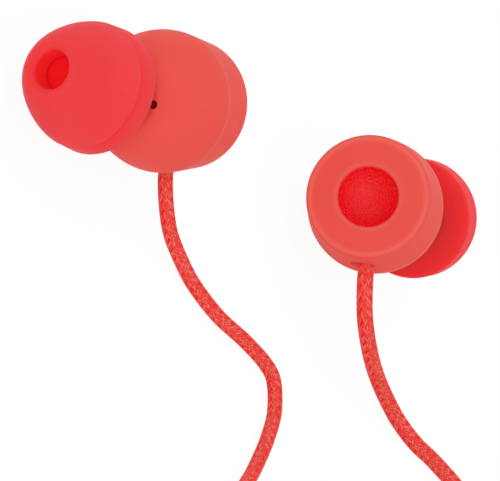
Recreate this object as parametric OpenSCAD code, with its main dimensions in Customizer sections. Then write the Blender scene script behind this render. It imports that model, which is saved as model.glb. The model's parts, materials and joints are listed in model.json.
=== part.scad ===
// Wired in-ear earphones with silicone ear tips, braided fabric cord and a
// 3.5 mm plug. Both earpieces lie on their sides on a flat surface at z = 0.
// An earpiece is drawn about its own axis: z = 0 is the rim where the two
// shells meet, +z points to the ear and the cord leaves along -y.

/* [Housing] */
// Outer diameter at the rim, where the front and back shells meet
rim_d = 14.4; // [13.6:0.1:17]
// Outer diameter of the back shell at the flat back
back_d = 13.2; // [12.6:0.1:13.6]
// Length of the back shell from the rim to the flat back
back_len = 6.6; // [6.4:0.1:9]
// Height of the front shell's dome above the rim
dome_h = 9; // [8:0.1:9.4]
// Diameter of the dome's flat top
dome_top_d = 6; // [5:0.1:8]
// Thickness of the shell walls
shell_t = 0.9; // [0.7:0.05:1.1]
// Radius of the rounded edge round the flat back
edge_r = 0.6; // [0.2:0.1:0.8]
// Length of the front shell's spigot inside the back shell
spigot_len = 1.2; // [0.8:0.1:1.5]
// Diameter of the pressure vent in the dome
vent_d = 0.8; // [0.4:0.1:1]
// Radial gap between pieces that are glued together
glue_gap = 0.1; // [0.05:0.01:0.15]
// Bevel of the two shells' edges along their seam
seam_bevel = 0.08; // [0.04:0.02:0.12]

/* [Dish in the back] */
// Diameter of the dish
dish_d = 6.4; // [5.6:0.1:7]
// Depth at the middle of the dish
dish_depth = 2.4; // [1.6:0.1:2.5]
// Radius of the rounded edge at the dish's mouth
dish_edge_r = 0.4; // [0.2:0.1:0.5]
// Straight wall between that edge and the grille
dish_wall = 0.15; // [0.1:0.05:0.3]
// Width of the shoulder that the grille rests on
grille_seat = 0.5; // [0.4:0.1:0.7]
// Thickness of the back grille
grille_t = 0.4; // [0.3:0.1:0.5]
// Thickness of the felt damper behind the grille
felt_t = 0.4; // [0.3:0.1:0.5]

/* [Nozzle] */
// Lean of the nozzle from the housing's axis
nozzle_lean = 15.5; // [10:0.5:20]
// Direction of that lean round the housing's axis
nozzle_turn = 141; // [120:1:160]
// Sideways place of the nozzle's axis in the rim plane
nozzle_x = -0.95; // [-1.5:0.05:-0.5]
// Place of the nozzle's axis in the rim plane along the cord's direction
nozzle_y = -1.4; // [-1.8:0.05:-1]
// Outer diameter of the nozzle's barrel
nozzle_d = 4.8; // [4.4:0.1:5]
// Bore of the nozzle
nozzle_bore_d = 3.4; // [2.8:0.1:3.6]
// Outer diameter of the ridge that keeps the ear tip on
ridge_d = 5.2; // [5:0.05:5.4]
// Outer diameter of the collar at the nozzle's root
collar_d = 6.6; // [6.2:0.1:7.2]
// Distance along the nozzle from the rim plane to the collar's top
collar_top = 9.8; // [9.6:0.1:10.2]
// Length of the nozzle in front of the collar
nozzle_len = 6.6; // [6:0.1:6.8]

/* [Ear tip] */
// Diameter at the moulding line, the widest place of the dome
tip_d = 12.8; // [11:0.1:14]
// Diameter at the skirt's rear edge
skirt_d = 13; // [11.4:0.1:14.2]
// Height of the dome in front of the moulding line
tip_dome_h = 6.7; // [6:0.1:8]
// Length of the skirt behind the moulding line
skirt_len = 2.5; // [2.3:0.1:2.7]
// Diameter of the sound hole
tip_hole_d = 4; // [3.6:0.1:4.2]
// Radius of the soft lip round the sound hole
tip_lip = 0.45; // [0.2:0.05:0.6]
// Width of the flat rim round the tip's rear face
skirt_t = 0.6; // [0.4:0.05:0.9]
// Radius of the edge round that rim
skirt_edge = 0.2; // [0.1:0.05:0.3]
// Depth of the recess in the tip's rear face, whose floor faces the collar
recess_depth = 0.4; // [0.3:0.05:0.6]
// Width of the slope from that floor up to the flat rim
recess_slope = 0.8; // [0.5:0.1:1.2]
// Depth of the moulding line round the tip
line_depth = 0.06; // [0.04:0.01:0.1]
// Radial clearance between the tip's bore and the nozzle's ridge
tip_clear = 0.05; // [0.02:0.01:0.1]

/* [Driver] */
// Outer diameter of the driver's frame
driver_d = 10.8; // [10.2:0.1:11]
// Outer diameter of the yoke cup
yoke_d = 6.8; // [6.4:0.1:7]
// Depth of the yoke cup
yoke_h = 2.1; // [1.9:0.05:2.3]
// Wall of the yoke cup and thickness of its bottom
yoke_t = 0.5; // [0.4:0.05:0.6]
// Diameter of the magnet
magnet_d = 4.2; // [3.8:0.1:4.4]
// Width of the magnetic gap that the voice coil moves in
air_gap = 0.6; // [0.5:0.05:0.7]
// Wall of the voice coil
voice_t = 0.2; // [0.12:0.02:0.24]
// Thickness of the diaphragm
film_t = 0.12; // [0.08:0.01:0.16]
// Thickness of the foam gasket in front of the driver
gasket_t = 0.4; // [0.3:0.05:0.5]

/* [Cord] */
// Diameter of the braided cord
cord_d = 1.5; // [1.3:0.1:1.7]
// Distance of the cord's hole behind the rim
cord_z = 3.5; // [3.3:0.1:3.7]
// Clearance round the cord where it passes through a wall
cord_clear = 0.15; // [0.05:0.05:0.25]
// Diameter of the shallow recess round the cord's hole
relief_d = 2.4; // [2:0.1:2.8]
// Depth of that recess
relief_depth = 0.4; // [0.2:0.05:0.5]
// Sideways place of that recess from the cord
relief_shift = 0.35; // [0:0.05:0.5]
// Diameter of the crimp that holds the cord inside the housing
crimp_d = 2.2; // [1.9:0.1:2.3]
// Length of the crimp
crimp_len = 1.3; // [1:0.1:1.4]

/* [Coils] */
// Gap between one turn and the next
turn_gap = 0.5; // [0.45:0.05:0.6]
// Mean radius of the left cord's coil
left_coil_r = 7.5; // [7.5:0.1:9]
// Mean radius of the right cord's coil
right_coil_r = 9; // [7.5:0.1:9]
// Mean radius of the main cord's coil
main_coil_r = 8.3; // [8:0.1:9]
// Width of a tie
tie_w = 3; // [2:0.5:5]
// Thickness of a tie
tie_t = 0.4; // [0.3:0.1:0.6]
// Slack between a tie and the coil inside it
tie_slack = 0.1; // [0.05:0.05:0.2]

/* [Splitter] */
// Length of the splitter along the cord
split_len = 12; // [10:0.5:16]
// Width of the splitter
split_w = 6.6; // [6:0.1:8]
// Height of the splitter
split_h = 4.4; // [4:0.1:6]
// Distance between the two branch cords at the splitter
branch_gap = 2.6; // [2.2:0.1:3]
// Depth of the cord sockets in the splitter
socket_depth = 4; // [3:0.5:4.5]

/* [Plug] */
// Diameter of the plug's pin
pin_d = 3.5; // [3.5:0.1:3.5]
// Length of the whole pin
pin_len = 14; // [14:0.5:15]
// Diameter of the grip
grip_d = 7.2; // [6.4:0.1:9]
// Length of the grip
grip_len = 15; // [12:0.5:20]
// Length of the bend relief behind the grip
boot_len = 8; // [6:0.5:12]
// Diameter of the bend relief at the grip
boot_d = 4.6; // [4.2:0.1:5]

/* [Hidden] */
$fn = 64;

// Radii of the housing
rim_r = rim_d / 2;
back_r = back_d / 2;
dome_top_r = dome_top_d / 2;
function outer_r(z) = rim_r - (rim_r - back_r) * z / (back_len - edge_r);
function inner_r(z) = outer_r(z) - shell_t;

// How full the dome of the housing and the dome of the ear tip are: 2 is an ellipse
dome_power = 1.55;
tip_power = 1.4;

// The driver's seat in the front shell and the stack behind it
bore_r = driver_d / 2 + glue_gap;
spigot_r = inner_r(spigot_len) - glue_gap;
seat_z = 0.6;
seat_t = 0.6;
chamber_r = driver_d / 2 - 0.6;
driver_top = seat_z - gasket_t;
frame_rim_r = driver_d / 2 - 0.5;
frame_step_r = frame_rim_r - 0.3;
film_z = driver_top - 0.7;
film_r = frame_step_r - 0.45;
plate_top = film_z - 0.3;
plate_bottom = plate_top - 0.8;
yoke_r = yoke_d / 2;
yoke_top = film_z - 0.4;
yoke_flange_r = yoke_r + 0.5;
yoke_flange_t = 0.4;
pole_t = 0.3;
pole_r = yoke_r - yoke_t - air_gap;
voice_mid_r = pole_r + air_gap / 2;
voice_len = 1.4;

// The dish: the shoulder for its grille, and the hollow ball that grille and felt follow
dish_r = dish_d / 2;
dish_seat = dish_edge_r + dish_wall - back_len;
pocket_r = dish_r + grille_seat;
back_t = dish_edge_r + dish_wall + grille_t + glue_gap / 2;
ball_h = dish_depth - dish_edge_r - dish_wall;
ball_r = (pow(dish_r, 2) + pow(ball_h, 2)) / (2 * ball_h);
ball_z = dish_depth - back_len - ball_r;
function ball(r, low, n = 16) =
    [for (i = [0:n]) let (a = acos((low - ball_z) / r) * i / n) [r * sin(a), ball_z + r * cos(a)]];

// The cord's way out of the back shell
cord_r = cord_d / 2;
crimp_face = inner_r(cord_z) - 0.3;
crimp_back = crimp_face - crimp_len;
board_y = yoke_flange_r + 0.1;
board_size = [3, 1.1, 0.4];
wire_d = 0.3;

// Along the nozzle's axis, from its root inside the dome
nozzle_root = 0.4 * collar_top;
nozzle_end = collar_top + nozzle_len;
ridge_front = 0.4;
ridge_len = 0.5;
ridge_slope = 0.3;
mesh_recess = 0.4;
mesh_t = 0.3;
mesh_r = nozzle_bore_d / 2 + 0.3;
vent_x = dome_top_r - 0.2;

// The ear tip: its moulding line, and its rear floor, which ends just above the collar
tip_back = skirt_len - recess_depth;
tip_line = collar_top + glue_gap + tip_back;
tip_bore_r = ridge_d / 2 + tip_clear;
tip_hole_r = tip_hole_d / 2;
tip_rim_r = skirt_d / 2 - skirt_t;
tip_step = nozzle_end - tip_line + 0.2;
lip_start = 105;

// Where the earpieces lie: x, y, lean from upright, heading, roll about the own axis
left_pose = [-18.3, 5.15, 80.3, 181.5, 156.4];
right_pose = [18.35, -5.55, 114.8, -2.4, 15.7];

// Coils: centre, mean radius, turns, layers, starting angle, sense of winding
pitch = cord_d + turn_gap;
coil_z = tie_t + tie_slack + cord_r;
left_coil = [[-22, -45.5], left_coil_r, 4.5, 2, 90, 1];
right_coil = [[42, -48.8], right_coil_r, 4.5, 2, 90, -1];
main_coil = [[3, -48.3], main_coil_r, 15.5, 4, 90, 1];
loop_rings = 24;
coil_sides = 6;
cord_sides = 8;

// The splitter's centre, and the rear end of the plug's bend relief
split_at = [22.5, -50];
plug_at = [2, -69.4];

// Routes of the cords over the surface, between the pieces they join
left_route = [
    [-15.2, -3, 3.65], [-14.1, -6, 2.5], [-13.1, -7.5, 1.9], [-10.3, -10.8, 1], [-9, -12.4, 0.85],
    [-5.8, -15.5, 0.8], [-1.5, -18.3, 0.8], [1.5, -20.8, 0.8], [2.3, -22.3, 0.8], [1.2, -25.7, 0.8],
    [-1.4, -28.6, 0.8], [-3.8, -30.6, 0.8], [-6.5, -32.5, 0.85], [-9.6, -34.1, 0.95],
    [-13, -35.1, 1.1], [-16.5, -35.5, 1.2]];
right_route = [
    [13.9, -13.6, 7.35], [14.05, -16.4, 6.5], [14.6, -17.9, 5.9], [17.2, -20.8, 4.2],
    [20.9, -23.4, 2.35], [24.2, -26.1, 1.2], [25.5, -27.5, 0.95], [28.3, -30.1, 0.8],
    [31, -31.9, 0.8], [33.2, -33.6, 0.85], [37, -36.9, 1.1]];
left_tail_route = [
    [-15, -55.7, 2.6], [-11.9, -57, 1.8], [-8.6, -58.9, 1.1], [-5, -60.7, 0.85], [-1, -62, 0.8],
    [3, -62.4, 0.8], [7.5, -62.4, 0.8], [12, -62.3, 0.8], [16, -61.6, 0.85], [19, -59.9, 1.1],
    [20.8, -57.8, 1.7]];
right_tail_route = [
    [34.5, -60.2, 2.5], [31.5, -60.4, 1.7], [28.7, -60.3, 1.2], [26.3, -59.6, 1.15],
    [24.6, -58, 1.6]];
main_route = [
    [22.4, -42, 2.15], [21.6, -39.5, 1.85], [19.5, -37.3, 1.5], [16.4, -36.2, 1.3],
    [12.5, -36.1, 1.25], [8.5, -36.1, 1.25]];
main_tail_route = [
    [7.3, -60.6, 7.2], [10.2, -61.5, 6.9], [12.2, -63.5, 6.3], [12.5, -66.2, 5.4],
    [10.8, -68.5, 4.6], [7.8, -69.4, 4], [4.6, -69.4, 3.65]];

// ---- Shared functions ----

function unit(v) = v / norm(v);
function smooth(u) = let (c = min(max(u, 0), 1)) c * c * (3 - 2 * c);
function rounded(r, z, h, power, n = 12) =
    [for (i = [0:n]) let (t = 90 * i / n) [h[0] + (r - h[0]) * pow(cos(t), 2 / power), z + h[1] * pow(sin(t), 2 / power)]];
function corner(c, r, from, to, n = 6) =
    [for (i = [0:n]) let (a = from + (to - from) * i / n) c + r * [cos(a), sin(a)]];

// A vector of an earpiece's own frame, turned as the earpiece lies
function about_z(v, a) = [v.x * cos(a) - v.y * sin(a), v.x * sin(a) + v.y * cos(a), v.z];
function about_y(v, a) = [v.x * cos(a) + v.z * sin(a), v.y, v.z * cos(a) - v.x * sin(a)];
function turned(pose, v) = about_z(about_y(about_z(v, pose[4]), pose[2]), pose[3]);

// Outlines that roll on the surface, and the height at which an earpiece rests on them
back_outline = concat(
    [[rim_r - seam_bevel, 0], [outer_r(seam_bevel), -seam_bevel]],
    corner([back_r - edge_r, edge_r - back_len], edge_r, 0, -90));
dome_outline = concat(
    [[rim_r - seam_bevel, 0]],
    rounded(rim_r, seam_bevel, [dome_top_r, dome_h - seam_bevel], dome_power, 20));
tip_outline = concat(
    corner([skirt_d / 2 - skirt_edge, skirt_edge - skirt_len], skirt_edge, -90, 0, 4),
    [[tip_d / 2, -2 * line_depth], [tip_d / 2 - line_depth, -line_depth]],
    rounded(tip_d / 2, 0, [tip_hole_r + tip_lip, tip_dome_h], tip_power, 20));
nozzle_dir = [sin(nozzle_lean) * cos(nozzle_turn), sin(nozzle_lean) * sin(nozzle_turn), cos(nozzle_lean)];
function rise(pose, v) = turned(pose, v).z;
function reach(pose, dir, at, r) = r * sqrt(1 - pow(rise(pose, dir), 2)) - rise(pose, at);
function rest(pose) = max(concat(
    [for (p = concat(back_outline, dome_outline)) reach(pose, [0, 0, 1], [0, 0, p[1]], p[0])],
    [for (p = tip_outline) reach(pose, nozzle_dir, [nozzle_x, nozzle_y, 0] + (tip_line + p[1]) * nozzle_dir, p[0])]));
function ear_point(pose, v) = [pose[0], pose[1], rest(pose)] + turned(pose, v);

// A round coil: it spirals in and out again, one layer up at each turning point
function coil_swing(c) = pitch * c[2] / c[3] / 2;
function coil_layer(c, turn) = floor(min(turn / (c[2] / c[3]), c[3] - 0.001));
function coil_radius(c, turn) = let (k = coil_layer(c, turn), u = turn - k * c[2] / c[3])
    c[1] + (k % 2 == 0 ? 1 : -1) * (coil_swing(c) - pitch * u);
function coil_height(c, turn) = coil_z
    + pitch * ([for (k = [1:c[3] - 1]) smooth(2 * (turn - k * c[2] / c[3]) + 0.5)] * [for (k = [1:c[3] - 1]) 1]);
function coil_point(c, turn) = let (a = c[4] + c[5] * 360 * turn, r = coil_radius(c, turn))
    [c[0].x + r * cos(a), c[0].y + r * sin(a), coil_height(c, turn)];
function coil_dir(c, turn) = let (a = c[4] + c[5] * 360 * turn) c[5] * [-sin(a), cos(a), 0];
function coil_in(c, back = 0) = coil_point(c, 0) - (cord_d + back) * coil_dir(c, 0);
function coil_out(c, on = 0) = coil_point(c, c[2]) + (cord_d + on) * coil_dir(c, c[2]);
function coil_path(c) = concat(
    [coil_in(c)],
    [for (i = [0:c[2] * loop_rings]) coil_point(c, i / loop_rings)],
    [coil_out(c)]);
function least_gap(p) = min([for (i = [0:len(p) - 13], j = [i + 12:len(p) - 1]) norm(p[i] - p[j])]) - cord_d;

// The stretches of cord between the pieces they join
function ear_cord(pose, route, c) = concat(
    [ear_point(pose, [0, -crimp_face, -cord_z]), ear_point(pose, [0, -rim_r, -cord_z])],
    route,
    [coil_in(c, cord_d), coil_in(c)]);
function branch_end(side) = [split_at.x + side * branch_gap / 2, split_at.y - split_len / 2, split_h / 2];
function branch_tail(side, route, c) = concat(
    [coil_out(c), coil_out(c, cord_d)],
    route,
    [branch_end(side), branch_end(side) + [0, socket_depth, 0]]);
main_start = [split_at.x, split_at.y + split_len / 2, split_h / 2];
main_path = concat(
    [main_start - [0, socket_depth, 0], main_start],
    main_route,
    [coil_in(main_coil, cord_d), coil_in(main_coil)]);
plug_z = grip_d / 2;
boot_socket = 0.6 * boot_len;
main_tail_path = concat(
    [coil_out(main_coil), coil_out(main_coil, cord_d)],
    main_tail_route,
    [[plug_at.x, plug_at.y, plug_z], [plug_at.x - boot_socket, plug_at.y, plug_z]]);

// ---- Shared modules ----

module tube(p, d, sides) {
    t = [for (i = [0:len(p) - 1]) unit(p[min(i + 1, len(p) - 1)] - p[max(i - 1, 0)])];
    points = [for (i = [0:len(p) - 1]) let (side = unit(cross(t[i], [0, 0, 1])), up = cross(side, t[i]))
        for (k = [0:sides - 1]) let (a = 360 * k / sides) p[i] + d / 2 * (cos(a) * side + sin(a) * up)];
    last = (len(p) - 1) * sides;
    walls = [for (i = [0:len(p) - 2], k = [0:sides - 1]) let (a = i * sides + k, b = i * sides + (k + 1) % sides)
        each [[a, b, b + sides], [a, b + sides, a + sides]]];
    ends = [for (k = [1:sides - 2]) each [[0, k + 1, k], [last, last + k, last + k + 1]]];
    polyhedron(points, concat(walls, ends));
}

module disc(r, low, high) {
    translate([0, 0, low]) cylinder(r = r, h = high - low);
}

module ring(inner, outer, low, high) {
    difference() {
        disc(outer, low, high);
        disc(inner, low - 1, high + 1);
    }
}

// A rectangle with round corners
module plate(size, r) {
    square([size.x - 2 * r, size.y], center = true);
    square([size.x, size.y - 2 * r], center = true);
    for (x = [-1, 1], y = [-1, 1])
        translate([x * (size.x / 2 - r), y * (size.y / 2 - r)]) circle(r = r);
}

module earpiece(pose) {
    translate([pose[0], pose[1], rest(pose)])
        rotate([0, pose[2], pose[3]]) rotate([0, 0, pose[4]]) children();
}

module on_nozzle() {
    translate([nozzle_x, nozzle_y, 0]) rotate([0, nozzle_lean, nozzle_turn]) children();
}

module along_cord(from, to, r) {
    translate([0, -to, -cord_z]) rotate([-90, 0, 0]) cylinder(r = r, h = to - from);
}

// ---- Housing ----

module housing_front() {
    chamber = concat(
        [[0, -spigot_len - 1], [bore_r, -spigot_len - 1], [bore_r, seat_z], [chamber_r, seat_z]],
        rounded(chamber_r, seat_z + seat_t,
            [dome_top_r - shell_t, dome_h - shell_t - seat_z - seat_t], dome_power),
        [[0, dome_h - shell_t]]);
    ridge_z = nozzle_end - ridge_front - ridge_len;
    nozzle = [
        [0, nozzle_root], [collar_d / 2, nozzle_root], [collar_d / 2, collar_top],
        [nozzle_d / 2, collar_top], [nozzle_d / 2, ridge_z - ridge_slope], [ridge_d / 2, ridge_z],
        [ridge_d / 2, ridge_z + ridge_len], [nozzle_d / 2 - 0.1, nozzle_end], [0, nozzle_end]];
    color("#EA5550") difference() {
        union() {
            rotate_extrude() polygon(concat(
                [[0, -spigot_len], [spigot_r, -spigot_len], [spigot_r, 0]], dome_outline, [[0, dome_h]]));
            on_nozzle() rotate_extrude() polygon(nozzle);
        }
        rotate_extrude() polygon(chamber);
        on_nozzle() disc(nozzle_bore_d / 2, nozzle_root, nozzle_end + 1);
        on_nozzle() disc(mesh_r, nozzle_end - mesh_recess, nozzle_end + 1);
        translate([vent_x, -0.3, 0]) disc(vent_d / 2, dome_h / 2, dome_h + 1);
    }
}

module housing_back() {
    section = concat(
        back_outline,
        corner([dish_r + dish_edge_r, dish_edge_r - back_len], dish_edge_r, 270, 180),
        [[dish_r, dish_seat], [pocket_r, dish_seat], [pocket_r, back_t - back_len],
         [inner_r(back_len - back_t), back_t - back_len], [inner_r(0), 0]]);
    color("#EE6058") difference() {
        rotate_extrude() polygon(section);
        along_cord(crimp_face, rim_r + 1, cord_r + cord_clear);
        translate([relief_shift, 0, 0]) along_cord(outer_r(cord_z) - relief_depth, rim_r + 1, relief_d / 2);
    }
}

module back_grille() {
    back = ball(ball_r + grille_t, dish_seat + grille_t);
    color("#D81428") rotate_extrude() polygon(concat(
        ball(ball_r, dish_seat),
        [[pocket_r - glue_gap / 2, dish_seat], [pocket_r - glue_gap / 2, dish_seat + grille_t]],
        [for (i = [len(back) - 1:-1:0]) back[i]]));
}

module back_felt() {
    low = dish_seat + grille_t + glue_gap;
    front = ball(ball_r + grille_t + glue_gap / 2, low);
    color("#403C40") rotate_extrude() polygon(concat(
        ball(ball_r + grille_t + glue_gap / 2 + felt_t, low),
        [for (i = [len(front) - 1:-1:0]) front[i]]));
}

module nozzle_mesh() {
    color("#C01C28") on_nozzle()
        disc(mesh_r - glue_gap / 2, nozzle_end - mesh_recess, nozzle_end - mesh_recess + mesh_t);
}

// ---- Ear tip ----

module ear_tip() {
    section = concat(
        tip_outline,
        corner([tip_hole_r + tip_lip, tip_dome_h - tip_lip], tip_lip, lip_start, 180, 5),
        [[tip_hole_r, tip_step], [tip_bore_r, tip_step], [tip_bore_r, -tip_back],
         [tip_rim_r - recess_slope, -tip_back], [tip_rim_r, -skirt_len]]);
    color("#E83C44") on_nozzle() translate([0, 0, tip_line]) rotate_extrude() polygon(section);
}

// ---- Driver ----

module driver_gasket() {
    color("#303034") ring(chamber_r, driver_d / 2, driver_top, seat_z);
}

module driver_frame() {
    color("#B8BCC0") rotate_extrude() polygon([
        [driver_d / 2, driver_top], [frame_rim_r, driver_top], [frame_rim_r, film_z], [frame_step_r, film_z],
        [frame_step_r, plate_top], [yoke_r + glue_gap, plate_top], [yoke_r + glue_gap, plate_bottom],
        [driver_d / 2, plate_bottom]]);
}

module surround() {
    mid = (film_r + 0.1 + frame_step_r) / 2;
    roll = frame_step_r - mid;
    color("#50484C") rotate_extrude() polygon(concat(
        corner([mid, film_z], roll, 180, 0, 8),
        [[frame_rim_r - glue_gap / 2, film_z + film_t], [frame_rim_r - glue_gap / 2, film_z]],
        [[mid + roll - film_t / 2, film_z]],
        corner([mid, film_z], roll / 2, 0, 180, 8)));
}

module diaphragm() {
    cap_r = voice_mid_r - voice_t / 2 - 0.05;
    cap_h = 0.45;
    cap = [for (i = [0:8]) let (x = cap_r * i / 8) [x, film_z + cap_h * (1 - pow(i / 8, 2))]];
    color("#C8B088") rotate_extrude() polygon(concat(
        cap,
        [[film_r, film_z], [film_r, film_z + film_t]],
        [for (i = [8:-1:0]) cap[i] + [0, film_t]]));
}

module voice_coil() {
    color("#B87333") ring(voice_mid_r - voice_t / 2, voice_mid_r + voice_t / 2, film_z - voice_len, film_z);
}

module top_plate() {
    color("#A0A4A8") disc(pole_r, yoke_top - pole_t, yoke_top);
}

module magnet() {
    color("#70747A") disc(magnet_d / 2, yoke_top - yoke_h + yoke_t, yoke_top - pole_t);
}

module yoke() {
    color("#989CA2") difference() {
        union() {
            disc(yoke_r, yoke_top - yoke_h, yoke_top);
            disc(yoke_flange_r, plate_bottom - yoke_flange_t, plate_bottom);
        }
        disc(yoke_r - yoke_t, yoke_top - yoke_h + yoke_t, yoke_top + 1);
    }
}

module terminal_board() {
    color("#2E6B45") translate([0, -board_y - board_size.y / 2, plate_bottom - board_size.z / 2])
        cube(board_size, center = true);
}

module lead_wires() {
    low = 0.3 - cord_z;
    y = wire_d / 2 + 0.05 - crimp_back;
    color("#C87840") for (x = [-0.5, 0.5]) translate([x, 0, 0]) {
        translate([0, y, low]) sphere(d = wire_d);
        translate([0, y, low]) cylinder(d = wire_d, h = plate_bottom - board_size.z - low);
        translate([0, -crimp_back, low]) rotate([-90, 0, 0]) cylinder(d = wire_d, h = y + crimp_back);
    }
}

module cord_crimp() {
    color("#C8CCD0") along_cord(crimp_back, crimp_face, crimp_d / 2);
}

// ---- Cord ----

module cord(path) {
    color("#EC5854") tube(path, cord_d, cord_sides);
}

module coil(c) {
    path = coil_path(c);
    echo(least_gap_mm = least_gap(path));
    color("#EC5854") tube(path, cord_d, coil_sides);
}

// A band round the coil's turns, at one place of the ring
module coil_tie(c, angle) {
    outer_r = c[1] + coil_swing(c) + cord_r + tie_slack;
    inner_edge = c[1] - coil_swing(c) - cord_r;
    inner_r = sqrt(pow(inner_edge, 2) - pow(tie_w / 2, 2)) - tie_slack;
    hole = [outer_r - inner_r, (c[3] - 1) * pitch + cord_d + 2 * tie_slack];
    color("#4A4A4E") translate([c[0].x, c[0].y, 0]) rotate([0, 0, angle])
        translate([(outer_r + inner_r) / 2, tie_w / 2, tie_t + hole.y / 2]) rotate([90, 0, 0])
            linear_extrude(height = tie_w) difference() {
                plate(hole + 2 * tie_t * [1, 1], 0.8);
                plate(hole, 0.4);
            }
}

// ---- Splitter ----

module splitter_half(low) {
    color("#E84C4C") difference() {
        translate([split_at.x, split_at.y, low]) linear_extrude(height = split_h / 2)
            plate([split_w, split_len], 2);
        for (side = [-1, 1])
            translate(branch_end(side) - [0, 1, 0]) rotate([-90, 0, 0])
                cylinder(r = cord_r + cord_clear, h = socket_depth + 1);
        translate(main_start - [0, socket_depth, 0]) rotate([-90, 0, 0])
            cylinder(r = cord_r + cord_clear, h = socket_depth + 1);
    }
}

// ---- Plug ----

// The plug's axis runs along -x: z = 0 of its own frame is the rear end of the bend relief
module plug() {
    translate([plug_at.x, plug_at.y, plug_z]) rotate([0, -90, 0]) children();
}

boot_r = boot_d / 2;
boot_tail_r = cord_r + 0.6;
boot_plug_len = 2;
grip_r = grip_d / 2;
grip_end = boot_len + grip_len;
pin_r = pin_d / 2;
pin_tail = 5;
pin_tail_r = pin_r - 0.25;
insulator_t = 0.6;
ring_len = 2;
tip_len = 4.2;
tip_shoulder = 1;
tip_neck = [0.5, 1.7];
tip_bulge = [0.2, 2.4];
layer_t = 0.22;
layer_gap = 0.05;
rod_r = 0.45;
ring_bore_r = rod_r + layer_t + 2 * layer_gap;
sleeve_in_r = ring_bore_r + 2 * layer_t + 2 * layer_gap;
sleeve_end = grip_end + pin_len - tip_len - ring_len - 2 * insulator_t;
ring_start = sleeve_end + insulator_t;
tip_start = ring_start + ring_len + insulator_t;

module plug_boot() {
    color("#E84C4C") plug() difference() {
        rotate_extrude() polygon([
            [0, 0], [boot_tail_r - 0.2, 0], [boot_tail_r, 0.2], [boot_r, boot_len],
            [boot_r, boot_len + boot_plug_len], [0, boot_len + boot_plug_len]]);
        disc(cord_r + cord_clear, -1, boot_socket);
    }
}

module plug_grip() {
    edge = 0.8;
    color("#EA5550") plug() difference() {
        rotate_extrude() polygon(concat(
            [[0, boot_len]],
            corner([grip_r - edge, boot_len + edge], edge, -90, 0),
            corner([grip_r - edge, grip_end - edge], edge, 0, 90),
            [[0, grip_end]]));
        disc(boot_r + glue_gap, boot_len - 1, boot_len + boot_plug_len + glue_gap);
        disc(pin_tail_r + glue_gap, grip_end - pin_tail - glue_gap, grip_end + 1);
    }
}

module plug_sleeve() {
    color("#D9B45A") plug() difference() {
        union() {
            disc(pin_tail_r, grip_end - pin_tail, grip_end);
            disc(pin_r, grip_end, sleeve_end);
        }
        disc(sleeve_in_r, grip_end - pin_tail - 1, sleeve_end + 1);
    }
}

// A flange between two contacts and the tube that carries on inside the contact behind it
module insulator(bore, at) {
    color("#26262A") plug() difference() {
        union() {
            disc(bore + layer_t, grip_end - pin_tail, at);
            disc(pin_r, at, at + insulator_t);
        }
        disc(bore, grip_end - pin_tail - 1, at + insulator_t + 1);
    }
}

module plug_ring() {
    color("#D9B45A") plug() difference() {
        union() {
            disc(ring_bore_r + layer_t, grip_end - pin_tail, ring_start);
            disc(pin_r, ring_start, ring_start + ring_len);
        }
        disc(ring_bore_r, grip_end - pin_tail - 1, ring_start + ring_len + 1);
    }
}

module plug_tip() {
    color("#D9B45A") plug() rotate_extrude() polygon([
        [0, grip_end - pin_tail], [rod_r, grip_end - pin_tail], [rod_r, tip_start],
        [pin_r, tip_start], [pin_r, tip_start + tip_shoulder], [pin_r - tip_neck[0], tip_start + tip_neck[1]],
        [pin_r - tip_bulge[0], tip_start + tip_bulge[1]], [0.6, tip_start + tip_len - 0.2],
        [0.3, tip_start + tip_len],
        [0, tip_start + tip_len]]);
}

// ---- The left earpiece ----

earpiece(left_pose) housing_front();  // left_housing_front
earpiece(left_pose) housing_back();  // left_housing_back
earpiece(left_pose) ear_tip();  // left_ear_tip
earpiece(left_pose) nozzle_mesh();  // left_nozzle_mesh
earpiece(left_pose) back_grille();  // left_back_grille
earpiece(left_pose) back_felt();  // left_back_felt
earpiece(left_pose) driver_gasket();  // left_driver_gasket
earpiece(left_pose) driver_frame();  // left_driver_frame
earpiece(left_pose) diaphragm();  // left_diaphragm
earpiece(left_pose) surround();  // left_surround
earpiece(left_pose) voice_coil();  // left_voice_coil
earpiece(left_pose) top_plate();  // left_top_plate
earpiece(left_pose) magnet();  // left_magnet
earpiece(left_pose) yoke();  // left_yoke
earpiece(left_pose) terminal_board();  // left_terminal_board
earpiece(left_pose) lead_wires();  // left_lead_wires
earpiece(left_pose) cord_crimp();  // left_cord_crimp

// ---- The right earpiece ----

earpiece(right_pose) housing_front();  // right_housing_front
earpiece(right_pose) housing_back();  // right_housing_back
earpiece(right_pose) ear_tip();  // right_ear_tip
earpiece(right_pose) nozzle_mesh();  // right_nozzle_mesh
earpiece(right_pose) back_grille();  // right_back_grille
earpiece(right_pose) back_felt();  // right_back_felt
earpiece(right_pose) driver_gasket();  // right_driver_gasket
earpiece(right_pose) driver_frame();  // right_driver_frame
earpiece(right_pose) diaphragm();  // right_diaphragm
earpiece(right_pose) surround();  // right_surround
earpiece(right_pose) voice_coil();  // right_voice_coil
earpiece(right_pose) top_plate();  // right_top_plate
earpiece(right_pose) magnet();  // right_magnet
earpiece(right_pose) yoke();  // right_yoke
earpiece(right_pose) terminal_board();  // right_terminal_board
earpiece(right_pose) lead_wires();  // right_lead_wires
earpiece(right_pose) cord_crimp();  // right_cord_crimp

// ---- The cords, the splitter and the plug ----

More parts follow.
